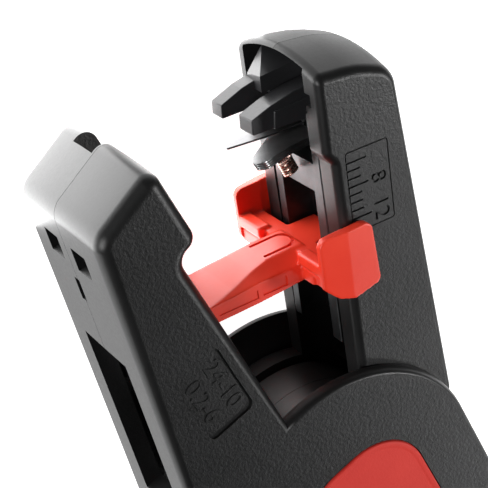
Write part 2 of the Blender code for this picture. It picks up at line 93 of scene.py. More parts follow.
def arc(radius, start, end, step=3.0):
    """Corners along a circle round the pivot, between two angles in degrees."""
    count = max(1, round(abs(end - start) / step))
    corners = []
    for i in range(count + 1):
        angle = math.radians(start + (end - start) * i / count)
        corners.append((radius * math.cos(angle), radius * math.sin(angle), 0.0))
    return corners


def polar(radius, degrees, rounding=0.0):
    return (radius * math.cos(math.radians(degrees)), radius * math.sin(math.radians(degrees)), rounding)


def corner_directions(corners, i):
    corner = Vector(corners[i][:2])
    before = (Vector(corners[i - 1][:2]) - corner).normalized()
    after = (Vector(corners[(i + 1) % len(corners)][:2]) - corner).normalized()
    return corner, before, after


def rounded(corners, step=9.0):
    """Points of a closed outline, each corner (x, y, radius) an arc."""
    points = []
    for i, (x, y, radius) in enumerate(corners):
        corner, before, after = corner_directions(corners, i)
        if radius == 0:
            points.append(corner)
            continue
        half = before.angle(after) / 2
        centre = corner + (before + after).normalized() * radius / math.sin(half)
        start = corner + before * radius / math.tan(half) - centre
        sweep = math.pi - 2 * half
        if before.x * after.y - before.y * after.x > 0:
            sweep = -sweep
        count = max(1, round(abs(math.degrees(sweep)) / step))
        for k in range(count + 1):
            turn = sweep * k / count
            points.append(centre + Vector((
                start.x * math.cos(turn) - start.y * math.sin(turn),
                start.x * math.sin(turn) + start.y * math.cos(turn),
            )))
    return points


def grown(corners, amount):
    """The same outline moved outwards, or inwards by a negative amount."""
    area = sum(a[0] * b[1] - b[0] * a[1] for a, b in zip(corners, corners[1:] + corners[:1]))
    moved = []
    for i, (x, y, radius) in enumerate(corners):
        corner, before, after = corner_directions(corners, i)
        convex = (after.x * before.y - after.y * before.x) * area > 0
        reach = amount if convex else -amount
        corner -= (before + after).normalized() * reach / math.sin(before.angle(after) / 2)
        moved.append((corner.x, corner.y, max(0.02, radius + reach) if radius else 0.0))
    return moved


# Solids

FLAT_ANGLE = math.radians(1)

def finish_mesh(work, name, place=None):
    """A piece in metres from a mesh drawn in millimetres, with its faces turned outwards."""
    bmesh.ops.recalc_face_normals(work, faces=work.faces)
    if work.calc_volume(signed=True) < 0:
        bmesh.ops.reverse_faces(work, faces=work.faces)
    bmesh.ops.scale(work, vec=(MM, MM, MM), verts=work.verts)
    if place is not None:
        bmesh.ops.transform(work, matrix=place, verts=work.verts)
    mesh = bpy.data.meshes.new(name)
    work.to_mesh(mesh)
    work.free()
    piece = bpy.data.objects.new(name, mesh)
    bpy.context.scene.collection.objects.link(piece)
    return piece


def rim_levels(low, high, rim_low=0.0, rim_high=0.0, segments=5, walls=1):
    """(inset, height) of each ring of a solid with rounded rims, from low to high."""
    levels = []
    for i in range(segments + 1 if rim_low else 1):
        angle = math.pi / 2 * i / segments
        levels.append((rim_low * (1 - math.sin(angle)), low + rim_low * (1 - math.cos(angle))))
    bottom = low + rim_low
    top = high - rim_high
    for i in range(1, walls):
        levels.append((0.0, bottom + (top - bottom) * i / walls))
    for i in range(segments + 1 if rim_high else 1):
        angle = math.pi / 2 * i / segments
        levels.append((rim_high * (1 - math.cos(angle)), top + rim_high * math.sin(angle)))
    return levels


def ring_solid(name, corners, levels, place=None, shape=None, step=9.0, cross=False, rim_at=None):
    """A closed solid lofted through insets of one outline.

    With cross, the outline lies in X and Z, and Z is counted from the middle plane. shape moves each point,
    and rim_at gives the share of the inset that a point of the outline takes.
    """
    work = bmesh.new()
    rings = []
    outer = rounded(corners, step)
    for inset, height in levels:
        points = rounded(grown(corners, -inset) if inset > 0.0001 else corners, step)
        if rim_at:
            points = [a.lerp(b, rim_at(a)) for a, b in zip(outer, points)]
        ring = []
        for point in points:
            spot = Vector((point.x, height, point.y + MID) if cross else (point.x, point.y, height))
            ring.append(work.verts.new(shape(spot) if shape else spot))
        rings.append(ring)
    count = len(rings[0])
    for lower, upper in zip(rings, rings[1:]):
        for i in range(count):
            k = (i + 1) % count
            work.faces.new((lower[i], lower[k], upper[k], upper[i]))
    work.faces.new(rings[0][::-1])
    work.faces.new(rings[-1])
    return finish_mesh(work, name, place)


def slab(name, corners, low, high, place=None, rim=0.0, segments=3, shape=None, walls=1, cross=False):
    levels = rim_levels(low, high, rim, rim, segments, walls)
    return ring_solid(name, corners, levels, place, shape, cross=cross)


def block(name, low, high, place=None, rim=0.0):
    """A box whose upright edges are rounded a little more than its rims, so that the rims fit inside them."""
    spots = [(low[0], low[1]), (high[0], low[1]), (high[0], high[1]), (low[0], high[1])]
    return slab(name, [(x, y, rim * 1.05) for x, y in spots], low[2], high[2], place, rim)


def rod(name, x, y, radius, low, high, place=None, sides=64):
    corners = [(x + cx, y + cy, 0.0) for cx, cy, r in arc(radius, 0, 360 - 360 / sides, 360 / sides)]
    return slab(name, corners, low, high, place)


def boolean(piece, tools, operation="DIFFERENCE"):
    """Cuts or joins the tools one after another, then removes them."""
    for tool in tools:
        modifier = piece.modifiers.new("cut", "BOOLEAN")
        modifier.operation = operation
        modifier.object = tool
        modifier.solver = "EXACT"
        bake(piece)
        bpy.data.objects.remove(tool, do_unlink=True)
    return piece


def bake(piece):
    """Applies the modifiers."""
    mesh = bpy.data.meshes.new_from_object(piece.evaluated_get(bpy.context.evaluated_depsgraph_get()))
    piece.modifiers.clear()
    piece.data = mesh


def soften(piece, width, angle):
    """Rounds every edge sharper than the angle."""
    modifier = piece.modifiers.new("edges", "BEVEL")
    modifier.width = width * MM
    modifier.segments = 2
    modifier.limit_method = "ANGLE"
    modifier.angle_limit = math.radians(angle)
    bake(piece)


def melt(piece, voxel, rounds):
    """Turns sharp unions into one moulded form with soft edges."""
    remesh = piece.modifiers.new("remesh", "REMESH")
    remesh.mode = "VOXEL"
    remesh.voxel_size = voxel * MM
    bake(piece)
    smooth = piece.modifiers.new("smooth", "SMOOTH")
    smooth.factor = 0.5
    smooth.iterations = rounds
    bake(piece)


def thin_out(piece, share):
    """Keeps this share of the faces."""
    modifier = piece.modifiers.new("thin", "DECIMATE")
    modifier.ratio = share
    bake(piece)


def shade(piece, angle=35):
    piece.data.shade_smooth()
    piece.data.set_sharp_from_angle(angle=math.radians(angle))


def dress(piece, material, body, slot, *nodes, angle=35, weighted=True):
    """Gives a piece its material and smooth shading, puts it under its body's empty and hides the nodes that it
    replaces. The slot is not used.
    """
    piece.data.materials.clear()
    piece.data.materials.append(material)
    shade(piece, angle)
    if weighted:
        modifier = piece.modifiers.new("normals", "WEIGHTED_NORMAL")
        modifier.keep_sharp = True
    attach(piece, body)
    if nodes:
        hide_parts(*nodes)
    return piece


def curve_solid(name, curve, place, flat=False):
    """The closed mesh of a curve. With flat, its flat faces are joined up."""
    source = bpy.data.objects.new(name, curve)
    bpy.context.scene.collection.objects.link(source)
    mesh = bpy.data.meshes.new_from_object(source.evaluated_get(bpy.context.evaluated_depsgraph_get()))
    bpy.data.objects.remove(source, do_unlink=True)
    mesh.transform(place)
    work = bmesh.new()
    work.from_mesh(mesh)
    bmesh.ops.remove_doubles(work, verts=work.verts, dist=0.000001)
    if flat:
        bmesh.ops.dissolve_limit(work, angle_limit=FLAT_ANGLE, verts=work.verts, edges=work.edges)
    bmesh.ops.recalc_face_normals(work, faces=work.faces)
    if work.calc_volume(signed=True) < 0:
        bmesh.ops.reverse_faces(work, faces=work.faces)
    work.to_mesh(mesh)
    work.free()
    piece = bpy.data.objects.new(name, mesh)
    bpy.context.scene.collection.objects.link(piece)
    return piece


def lettering(name, text, size, x, y, low, high, place=None):
    """Digits whose tops point to +X and that read down the tool."""
    curve = bpy.data.curves.new(name, "FONT")
    curve.body = text
    curve.size = size * MM
    curve.extrude = (high - low) / 2 * MM
    curve.align_x = "CENTER"
    curve.align_y = "CENTER"
    curve.resolution_u = 4
    turn = Matrix.Translation(Vector((x, y, (low + high) / 2)) * MM) @ Matrix.Rotation(-math.pi / 2, 4, "Z")
    return curve_solid(name, curve, place @ turn if place is not None else turn, flat=True)


# Materials

def new_material(name):
    """A material with its nodes, its links and its shader."""
    material = bpy.data.materials.new(name)
    material.use_nodes = True
    nodes = material.node_tree.nodes
    return material, nodes, material.node_tree.links, nodes["Principled BSDF"]


def noise(nodes, links, coordinate, scale, detail=4.0, roughness=0.6):
    texture = nodes.new("ShaderNodeTexNoise")
    texture.inputs["Scale"].default_value = scale
    texture.inputs["Detail"].default_value = detail
    texture.inputs["Roughness"].default_value = roughness
    links.new(coordinate, texture.inputs["Vector"])
    return texture.outputs["Fac"]


def ramp(nodes, links, value, low, high):
    """A colour between low and high that follows the middle part of a noise value."""
    mix = nodes.new("ShaderNodeValToRGB")
    mix.color_ramp.elements[0].position = 0.3
    mix.color_ramp.elements[1].position = 0.7
    mix.color_ramp.elements[0].color = (*low, 1.0)
    mix.color_ramp.elements[1].color = (*high, 1.0)
    links.new(value, mix.inputs["Fac"])
    return mix.outputs["Color"]


def spread(nodes, links, value, low, high, start=0.0, end=1.0):
    """A value from low to high while the input goes from start to end."""
    span = nodes.new("ShaderNodeMapRange")
    span.inputs["From Min"].default_value = start
    span.inputs["From Max"].default_value = end
    span.inputs["To Min"].default_value = low
    span.inputs["To Max"].default_value = high
    links.new(value, span.inputs["Value"])
    return span.outputs["Result"]


def moulded(name, dark, light, roughness, grain, depth, specular=0.5, facing_only=True):
    """Injection-moulded plastic with a faint change of colour and a spark texture depth millimetres high.

    With facing_only, the texture is full on the broad faces and faint on the rims and sides.
    """
    material, nodes, links, shader = new_material(name)
    coordinate = nodes.new("ShaderNodeTexCoord").outputs["Object"]
    cloud = noise(nodes, links, coordinate, 90.0)
    links.new(ramp(nodes, links, cloud, dark, light), shader.inputs["Base Color"])
    fine = noise(nodes, links, coordinate, grain, 3.0, 0.7)
    links.new(spread(nodes, links, fine, roughness[0], roughness[1]), shader.inputs["Roughness"])
    shader.inputs["Specular IOR Level"].default_value = specular
    bump = nodes.new("ShaderNodeBump")
    bump.inputs["Distance"].default_value = depth * MM
    links.new(fine, bump.inputs["Height"])
    if facing_only:
        normal = nodes.new("ShaderNodeNewGeometry").outputs["Normal"]
        split = nodes.new("ShaderNodeSeparateXYZ")
        links.new(normal, split.inputs["Vector"])
        flat = nodes.new("ShaderNodeMath")
        flat.operation = "ABSOLUTE"
        links.new(split.outputs["Z"], flat.inputs[0])
        strength = spread(nodes, links, flat.outputs["Value"], 0.15, 1.0, 0.9, 0.99)
        links.new(strength, bump.inputs["Strength"])
    links.new(bump.outputs["Normal"], shader.inputs["Normal"])
    return material


def metal(name, dark, light, roughness, stretch, depth=0.004):
    """Ground or rolled metal with fine marks, parallel where stretch differs between the axes."""
    material, nodes, links, shader = new_material(name)
    coordinate = nodes.new("ShaderNodeTexCoord").outputs["Object"]
    mapping = nodes.new("ShaderNodeMapping")
    mapping.inputs["Scale"].default_value = stretch
    links.new(coordinate, mapping.inputs["Vector"])
    marks = noise(nodes, links, mapping.outputs["Vector"], 2500.0, 5.0, 0.65)
    stain = noise(nodes, links, coordinate, 350.0, 3.0)
    links.new(ramp(nodes, links, stain, dark, light), shader.inputs["Base Color"])
    links.new(spread(nodes, links, marks, roughness[0], roughness[1]), shader.inputs["Roughness"])
    shader.inputs["Metallic"].default_value = 1.0
    bump = nodes.new("ShaderNodeBump")
    bump.inputs["Distance"].default_value = depth * MM
    bump.inputs["Strength"].default_value = 0.6
    links.new(marks, bump.inputs["Height"])
    links.new(bump.outputs["Normal"], shader.inputs["Normal"])
    return material


BLACK = moulded("black_moulding", (0.005, 0.005, 0.005), (0.009, 0.009, 0.0092), (0.32, 0.46),
                2600.0, 0.055, specular=0.35)
CLAMP = moulded("clamp_moulding", (0.014, 0.014, 0.015), (0.024, 0.024, 0.026), (0.25, 0.42),
                2200.0, 0.012, facing_only=False)
STOP_RED = moulded("stop_red", (0.78, 0.035, 0.015), (0.86, 0.055, 0.025), (0.30, 0.42),
                   1800.0, 0.010, facing_only=False)
INLAY_RED = moulded("inlay_red", (0.58, 0.029, 0.020), (0.67, 0.042, 0.029), (0.55, 0.70),
                    2600.0, 0.030, specular=0.3)
BLADE = metal("blade_steel", (0.36, 0.36, 0.365), (0.52, 0.52, 0.53), (0.24, 0.40), (1.0, 12.0, 12.0))
THIN_BLADE = metal("thin_blade_steel", (0.15, 0.15, 0.155), (0.22, 0.22, 0.225), (0.28, 0.42),
                   (1.0, 12.0, 12.0))
DARK_STEEL = metal("blackened_steel", (0.055, 0.055, 0.058), (0.10, 0.10, 0.105), (0.30, 0.50),
                   (8.0, 1.0, 8.0))
SLIDE = metal("slide_frame", (0.05, 0.052, 0.054), (0.08, 0.083, 0.086), (0.34, 0.46), (1.0, 10.0, 1.0))
BRIGHT_STEEL = metal("turned_steel", (0.52, 0.52, 0.53), (0.66, 0.66, 0.67), (0.22, 0.36),
                     (1.0, 1.0, 14.0))
COPPER = metal("spring_wire", (0.30, 0.19, 0.15), (0.50, 0.36, 0.31), (0.20, 0.34), (1.0, 1.0, 1.0),
               depth=0.0003)


# Fixed lever

RIM = 1.5
BODY_OUTLINE = [
    *arc(DISC_R, 0, 95.8),
    (-1.84, 45.3, 1.6),
    (1.05, 45.7, 1.6),
    (1.05, 57.0, 1.6),
    (-8.4, 54.3, 2.6),
    (-18.9, 7.2, 3.0),
    *arc(DISC_R, 166, 244),
    (-6.3, -20.5, 3.0),
    (-4.4, -56.0, 60.0),
    (-7.5, -118.0, 20.0),
    (-8.5, -129.8, 6.0),
    (15.5, -129.8, 7.0),
    (19.0, -112.0, 20.0),
    (15.8, -70.0, 60.0),
    (18.2, -28.0, 40.0),
]
HANDLE_POCKET = [
    (-3.9, -24.5, 2.0),
    (-2.0, -56.0, 60.0),
    (-5.0, -118.0, 20.0),
    (-5.8, -127.3, 4.0),
    (13.8, -127.3, 5.0),
    (16.4, -112.0, 20.0),
    (13.2, -70.0, 60.0),
    (15.6, -28.0, 10.0),
    (14.0, -24.5, 2.0),
]
INLAY_OUTLINE = [
    (10.0, 6.5, 7.5),
    (-8.2, 6.5, 7.5),
    (-8.0, -14.0, 12.0),
    (0.4, -45.0, 30.0),
    (-2.4, -112.0, 5.0),
    (12.4, -112.0, 5.0),
    (10.2, -40.0, 30.0),
]
BODY_SCREWS = [(5.2, -36.0), (6.0, -76.0), (5.0, -105.0)]
CHANNEL_Z = 5.95
NOTCH_Z = (-5.0, -0.3)


def fixed_nose(spot):
    """The nose's top falls away a little from the seam to both faces."""
    weight = min(1.0, max(0.0, (spot.y - 50.0) / 4.0))
    spot.y -= 0.7 * ((spot.z - MID) / HALF) ** 2 * weight
    return spot


def lever_rim(point):
    """The rim is full along the jaw and half as wide round the pivot and the handle."""
    return 0.5 + 0.5 * min(1.0, max(0.0, (point.y - 17.0) / 5.0))


def half_levels(side, half, rim):
    """Levels of a front or back moulding, from its seam to its rounded outer face."""
    if side == "front":
        return rim_levels(MID + SEAM, MID + half, 0.0, rim, 6, 5)
    return rim_levels(MID - half, MID - SEAM, rim, 0.0, 6, 5)


def body_cutters():
    """Everything that opens both mouldings alike: pivot, jaw channel, windows, slots and handle."""
    low = MID - HALF + CHEEK
    high = MID + HALF - CHEEK
    return [
        rod("hub_pocket", 0, 0, POCKET_R, low, high, sides=120),
        block("hub_relief", (12, -13, low), (26, 6, high)),
        slab("jaw_channel", [(4, 8, 0), (4, 53.4, 0), (-6.6, 51.2, 0.8), (-16.4, 8, 0)],
             MID - CHANNEL_Z, MID + CHANNEL_Z),
        block("long_window", (-30, 12, MID - 5), (-9, 36, MID + 5)),
        block("slot_a", (-14, 47.3, MID - 5), (-6, 50.2, MID - 1.65)),
        block("slot_b", (-14, 47.3, MID + 1.65), (-6, 50.2, MID + 5)),
        block("slot_c", (-16, 42.5, MID - 0.9), (-6, 45.4, MID + 0.3)),
        block("nose_notch", (-1.35, 50, MID + NOTCH_Z[0]), (6, 62, MID + NOTCH_Z[1])),
        slab("handle_pocket", HANDLE_POCKET, MID - HALF + WALL, MID + HALF - WALL),
        rod("pin_hole", 0, 0, PIN_HOLE_R, -2, 2 * MID + 2),
    ]


LABEL = [(-10.3, 23.8, 0.9), (-3.9, 23.8, 0.9), (-3.9, 34.0, 0.9), (-10.3, 34.0, 0.9)]


def label_plate(front):
    """Shallow recess with raised wire sizes."""
    recess = slab("label_recess", LABEL, front - 0.28, front + 2)
    rows = [lettering("label_large", "24-10", 3.1, -5.6, 28.9, front - 0.40, front - 0.19),
            lettering("label_small", "0.2-6", 3.1, -8.6, 28.9, front - 0.40, front - 0.19)]
    return recess, rows


def inlay_recess(outline, side):
    """Cutter for the bed that an inlay lies in."""
    low, high = (2 * MID - INLAY_BED, 2 * MID + THROUGH) if side == "front" else (-THROUGH, INLAY_BED)
    return slab("recess", grown(outline, INLAY_FIT), low, high)


def screw_holes(screws, back, front):
    """Cutters for the shanks, which end short of the front."""
    return [rod("hole", x, y, SCREW_SHANK_R + GAP, back + 1, front - 4, sides=32) for x, y in screws]


def head_wells(screws, back):
    """Cutters for the wells that the screw heads lie in."""
    return [rod("head", x, y, SCREW_HEAD_R + GAP, back - 2, back + SCREW_HEAD_DEPTH, sides=48)
            for x, y in screws]


def body_halves():
    """Front and back mouldings of the fixed lever. The front one has the wire sizes."""
    front = MID + HALF
    back = MID - HALF
    for side in ("front", "back"):
        half = ring_solid(f"{side}_lever_shell", BODY_OUTLINE, half_levels(side, HALF, RIM), shape=fixed_nose,
                          rim_at=lever_rim)
        boolean(half, body_cutters())
        boss = (MID + SEAM, front - 0.8) if side == "front" else (back + 0.8, MID - SEAM)
        boolean(half, [rod("boss", x, y, SCREW_BOSS_R, *boss) for x, y in BODY_SCREWS], "UNION")
        cuts = [inlay_recess(INLAY_OUTLINE, side), *screw_holes(BODY_SCREWS, back, front)]
        if side == "front":
            label, rows = label_plate(front)
            boolean(half, [*cuts, label])
            boolean(half, rows, "UNION")
        else:
            boolean(half, cuts + head_wells(BODY_SCREWS, back))
        dress(half, BLACK, "fixed_lever", "black_plastic", f"body_{side}_half")


def inlay(name, outline, side, body, node):
    """Red insert with a raised border round a slightly lower field."""
    if side == "front":
        low, high = 2 * MID - INLAY_DEPTH, 2 * MID
        levels = rim_levels(low, high, 0.0, 0.28, 4)
        levels += [(0.8, high), (0.98, high - 0.12)]
    else:
        low, high = 0.0, INLAY_DEPTH
        levels = [(0.98, low + 0.12), (0.8, low)]
        levels += rim_levels(low, high, 0.28, 0.0, 4)
    piece = ring_solid(name, outline, levels, step=6)
    dress(piece, INLAY_RED, body, "inlay_red", node)


body_halves()
inlay("front_red_inlay", INLAY_OUTLINE, "front", "fixed_lever", "front_inlay")
inlay("back_red_inlay", INLAY_OUTLINE, "back", "fixed_lever", "back_inlay")


# Moving jaw

JAW_RIM = 0.95
JAW_OUTLINE = [
    *arc(JAW_HUB_R, 74, 355),
    (16.75, 8.5, 1.5),
    (12.6, 54.9, 3.0),
    (8.0, 56.6, 12.0),
    (2.4, 57.1, 0.98),
    (2.4, 45.9, 1.3),
    (RAIL_X, 44.6, 0.96),
]
JAW_CHANNEL_Z = 5.3
JAW_CHANNEL = [(0, 12, 0), (14.3, 12, 0), (11.0, 52.0, 1.0), (8.0, 54.0, 1.0), (0, 54.4, 0)]
JAW_SCREWS = [(12.0, 22.0), (11.6, 40.0)]
JAW_BOSS_R = 2.1


def crown_drop(z):
    """How far the nose's crowned top lies below its middle."""
    return 1.9 * ((z - MID) / JAW_HALF) ** 2


def jaw_nose(spot):
    """The nose's top is crowned from face to face."""
    weight = min(1.0, max(0.0, (spot.y - 46.0) / 8.0))
    spot.y -= crown_drop(spot.z) * weight
    return spot


def under_crown(spot):
    """The window's roof keeps an even distance under the crown."""
    if spot.y > 55:
        spot.y = 56.55 - crown_drop(spot.z)
    return spot


def nose_window():
    """Opening behind the nose's lip."""
    return slab("window", [(0, 50.4, 0), (5.4, 50.4, 0), (5.4, 58.0, 0), (0, 58.0, 0)],
                MID - 6.7, MID + 5.6, JAW, shape=under_crown, walls=14)


SCALE_X = 4.87
SCALE_TOP = 44.25
SCALE_MARKS = 8
LONG_MARKS = (0, 3, 7)
LINE = 0.11              # half width of an engraved tick
BORDER = 0.07            # half width of the frame's line
DIGIT_SIZE = 2.9
DIGIT_X = 8.9


def scale_cutters(front):
    """Engraved ticks one millimetre apart, their frame, and the digits 8 and 12."""
    depth = front - 0.25
    tools = []
    for i in range(SCALE_MARKS):
        y = SCALE_TOP - i
        end = SCALE_X + (2.7 if i in LONG_MARKS else 1.73)
        tools.append(block("tick", (SCALE_X, y - LINE, depth), (end, y + LINE, front + 1), JAW))
    border = [(SCALE_X, 35.5, 0.35), (10.6, 35.5, 0.35), (10.6, 45.5, 0.35), (SCALE_X, 45.5, 0.35)]
    line = slab("border", grown(border, BORDER), depth, front + 1, JAW)
    boolean(line, [slab("inside", grown(border, -BORDER), depth - 1, front + 2, JAW)])
    tools.append(line)
    for text, below in (("8", 3), ("12", 6.9)):
        tools.append(lettering(f"digit_{text}", text, DIGIT_SIZE, DIGIT_X, SCALE_TOP - below,
                               depth, front + 0.3, JAW))
    return tools


def jaw_halves():
    """Front and back mouldings of the moving jaw. The front one has the scale."""
    low = MID - JAW_HALF
    high = MID + JAW_HALF
    for side in ("front", "back"):
        levels = half_levels(side, JAW_HALF, JAW_RIM)
        half = ring_solid(f"{side}_jaw_shell", JAW_OUTLINE, levels, JAW, jaw_nose)
        tools = [
            nose_window(),
            block("rail_notch", (0, 51.4, MID + 4), (3.2, 52.9, MID + 6.6), JAW),
            slab("slot", JAW_CHANNEL, MID - JAW_CHANNEL_Z, MID + JAW_CHANNEL_Z, JAW),
            rod("hub", 0, 0, JAW_HUB_R + 0.9, MID - JAW_CHANNEL_Z, MID + JAW_CHANNEL_Z, JAW, sides=96),
            rod("bore", 0, 0, BORE_R, -5, 30, JAW),
        ]
        boolean(half, tools)
        boss = (MID + SEAM, high - 1) if side == "front" else (low + 1, MID - SEAM)
        boolean(half, [rod("boss", x, y, JAW_BOSS_R, *boss, JAW) for x, y in JAW_SCREWS], "UNION")
        boolean(half, [rod("hole", x, y, 1.2, low - 1, high - 2.5, JAW, sides=24) for x, y in JAW_SCREWS])
        if side == "back":
            wells = [rod("head", x, y, JAW_BOSS_R, low - 1, low + 1.6, JAW, sides=40) for x, y in JAW_SCREWS]
            boolean(half, wells)
        else:
            boolean(half, scale_cutters(high))
        dress(half, BLACK, "moving_jaw", "black_plastic", f"jaw_{side}_half")


jaw_halves()


# Clamp inserts

def hull(name, corners):
    """The convex solid round a few corners of the moving jaw, Z counted from the middle plane."""
    work = bmesh.new()
    for x, y, z in corners:
        work.verts.new((x, y, z + MID))
    bmesh.ops.convex_hull(work, input=work.verts)
    loose = [v for v in work.verts if not v.link_faces]
    bmesh.ops.delete(work, geom=loose, context="VERTS")
    bmesh.ops.dissolve_limit(work, angle_limit=FLAT_ANGLE, verts=work.verts, edges=work.edges)
    return finish_mesh(work, name, JAW)


def finger(name, outline, low, high):
    """A flat finger between two heights above the middle plane."""
    return slab(name, outline, MID + low, MID + high, JAW, rim=0.14)


def moving_grip():
    """A base in the nose's pocket with two fingers, a rib on one of them, a wedge and a web."""
    insert = slab("clamp_insert", [(6.2, 46.7, 0.2), (9.8, 46.7, 0.4), (9.8, 52.2, 0.8), (7.6, 53.5, 0.2),
                                   (6.2, 53.6, 0.2)], MID - 5.0, MID + 5.0, JAW, rim=0.15)
    back = finger("back_finger", [(6.6, 48.9, 0), (6.6, 52.4, 0), (1.2, 52.45, 0), (-0.6, 52.05, 1.2),
                                  (-3.5, 50.95, 0.2), (-3.62, 49.3, 0.2), (-0.3, 49.3, 0)], -5.0, -2.8)
    low = finger("low_finger", [(6.6, 48.4, 0), (6.6, 52.3, 0), (3.0, 52.0, 0), (-0.2, 51.3, 1.5),
                                (-2.8, 50.4, 0.2), (-2.93, 48.6, 0.2)], -0.35, 2.4)
    rib = finger("finger_rib", [(6.6, 48.3, 0), (6.6, 50.9, 0), (0.1, 50.6, 0.2), (-0.2, 48.5, 0.2)],
                 1.6, 2.62)
    wedge = hull("wedge", [
        (0.7, 53.65, -0.6), (0.7, 51.7, -0.7), (1.4, 52.8, -4.6), (1.4, 51.2, -4.6),
        (6.6, 54.1, -0.6), (6.6, 51.5, -0.6), (3.8, 55.5, -4.6), (6.6, 55.6, -4.6), (6.6, 51.3, -4.6),
    ])
    web = hull("web", [
        (1.6, 51.8, -4.4), (1.6, 51.8, -0.9), (2.6, 50.6, -3.2), (2.6, 50.4, 1.2), (6.6, 51.8, -4.4),
        (6.6, 51.8, 0.4), (6.6, 49.0, -4.4), (6.6, 49.0, 0.4),
    ])
    boolean(insert, [back, low, rib, wedge, web], "UNION")
    soften(insert, 0.1, 30)
    dress(insert, CLAMP, "moving_jaw", "clamp_plastic", "moving_grip_insert")


def fixed_grip():
    """A plate in the fixed jaw's nose with two fingers that pass between those of the moving jaw."""
    plate = block("fixed_clamp", (-6.0, 47.6, MID - 5.6), (-4.1, 50.8, MID + 5.6), rim=0.2)
    low = block("fixed_finger", (-5.0, 48.0, MID - 2.4), (0.8, 50.6, MID - 0.7), rim=0.2)
    high = block("fixed_finger", (-5.0, 48.0, MID + 2.8), (0.8, 50.6, MID + 5.4), rim=0.2)
    boolean(plate, [low, high], "UNION")
    dress(plate, CLAMP, "fixed_lever", "clamp_plastic", "fixed_grip_insert")


moving_grip()
fixed_grip()


# Sliding carriage of the moving jaw

BLADE_TOP = 45.25
BLADE_PITCH = 0.26
BLADE_THICKNESS = 0.235
BLADE_STEP = 0.12        # how far each leaf's edge stands back from the one above


def draw_bar():
    """Frame in the jaw's channel, open in the middle and stepped at the top for the blades."""
    face = RAIL_X + 0.1
    bar = slab("slide_frame", [(face, 19.5, 0.5), (8.8, 19.5, 0.5), (8.8, 46.0, 0.5), (face, 46.0, 0.5)],
               MID - 5.0, MID + 5.0, JAW, rim=0.18)
    window = block("window", (0, 10.0, MID - 3.6), (7.3, 39.6, MID + 3.2), JAW)
    seat = block("seat", (0, 43.2, MID - 8), (6.8, 50, MID + 3.6), JAW)
    boolean(bar, [window, seat])
    soften(bar, 0.08, 60)
    dress(bar, SLIDE, "moving_carriage", "dark_steel", "draw_bar")


def blade(name, outline, low, high, node, material=BLADE):
    plate = slab(name, outline, low, high, JAW, rim=0.05, segments=2, cross=True)
    dress(plate, material, "moving_carriage", "blade_steel", node, angle=30)


def blades():
    """A thin pointed plate on top, and a pack of four leaves under it."""
    point = [(-3.8, -2.85, 0.2), (-1.3, -5.1, 1.5), (0.9, -5.1, 0), (6.4, -5.1, 0), (6.4, -2.1, 0),
             (1.3, -2.1, 0)]
    blade("pointed_blade", point, 45.45, 45.7, "back_blade", THIN_BLADE)
    leaf = [(-3.4, 2.1, 0.5), (-2.2, 0.4, 2.0), (1.5, -2.5, 1.0), (5.0, -3.0, 0), (6.4, -3.0, 0),
            (6.4, 1.0, 0), (3.8, 1.15, 1.0), (0.6, 1.85, 6.0), (-2.1, 2.8, 0.9)]
    for i in range(4):
        top = BLADE_TOP - i * BLADE_PITCH
        inset = BLADE_STEP * i
        outline = [(x + (inset if x < 0 else 0), z, r) for x, z, r in leaf]
        blade(f"leaf_{i + 1}", outline, top - BLADE_THICKNESS, top, f"blade_plate_{i + 1}")


def wire(name, points, thickness, place):
    """A round wire along a smooth run of points, as a mesh."""
    curve = bpy.data.curves.new(name, "CURVE")
    curve.dimensions = "3D"
    curve.bevel_depth = thickness / 2 * MM
    curve.bevel_resolution = 3
    curve.use_fill_caps = True
    spline = curve.splines.new("POLY")
    spline.points.add(len(points) - 1)
    for spot, point in zip(spline.points, points):
        spot.co = (*(Vector(point) * MM), 1.0)
    return curve_solid(name, curve, place)


def blade_spring():
    """Coil under the blades that leans into the jaw, and a leg led back beside it."""
    turns = 6
    steps = 28
    radius = 0.85
    end = 1.85 / 2          # from the coil's middle to either end
    axis = Vector((0.28, -0.92, 0.24))
    lean = Matrix.Translation((1.9, 42.6, MID + 0.78)) @ axis.to_track_quat("Z", "Y").to_matrix().to_4x4()
    winding = []
    for i in range(turns * steps + 1):
        angle = 2 * math.pi * i / steps
        along = end * (2 * i / (turns * steps) - 1)
        winding.append(lean @ Vector((radius * math.cos(angle), radius * math.sin(angle), along)))
    coil = wire("copper_coil", winding, 0.29, JAW)
    dress(coil, COPPER, "moving_carriage", "spring_wire", "blade_spring", weighted=False)
    bends = [(radius, 0.0, end), (radius + 0.1, -0.6, end), (radius + 0.35, -0.6, -end)]
    leg = wire("coil_leg", [lean @ Vector(bend) for bend in bends], 0.25, JAW)
    dress(leg, COPPER, "moving_carriage", "spring_wire", weighted=False)


# Length stop

WING_OUT = 9.9
WING_IN = JAW_HALF + 0.3


def tongue():
    """Bar whose upper front and back edges are cut away near the saddle."""
    wide = 4.2
    stations = [                                # X, bottom, top, shoulder, half width of the flat top
        (-12.9, 29.05, 31.3, 30.9, wide),
        (-9.0, 29.15, 32.0, 31.5, 3.4),
        (-6.0, 29.25, 32.7, 31.8, 2.7),
        (-3.5, 29.4, 33.15, 31.9, 2.3),
        (1.5, 29.8, 33.3, 31.9, 2.3),
    ]
    work = bmesh.new()
    rings = []
    for x, bottom, top, shoulder, flat in stations:
        section = [(bottom, -wide), (shoulder, -wide), (top, -flat), (top, flat), (shoulder, wide),
                   (bottom, wide)]
        rings.append([work.verts.new((x, y, MID + z)) for y, z in section])
    for left, right in zip(rings, rings[1:]):
        for i in range(len(left)):
            k = (i + 1) % len(left)
            work.faces.new((left[i], left[k], right[k], right[i]))
    work.faces.new(rings[0])
    work.faces.new(rings[-1][::-1])
    return finish_mesh(work, "tongue", JAW)


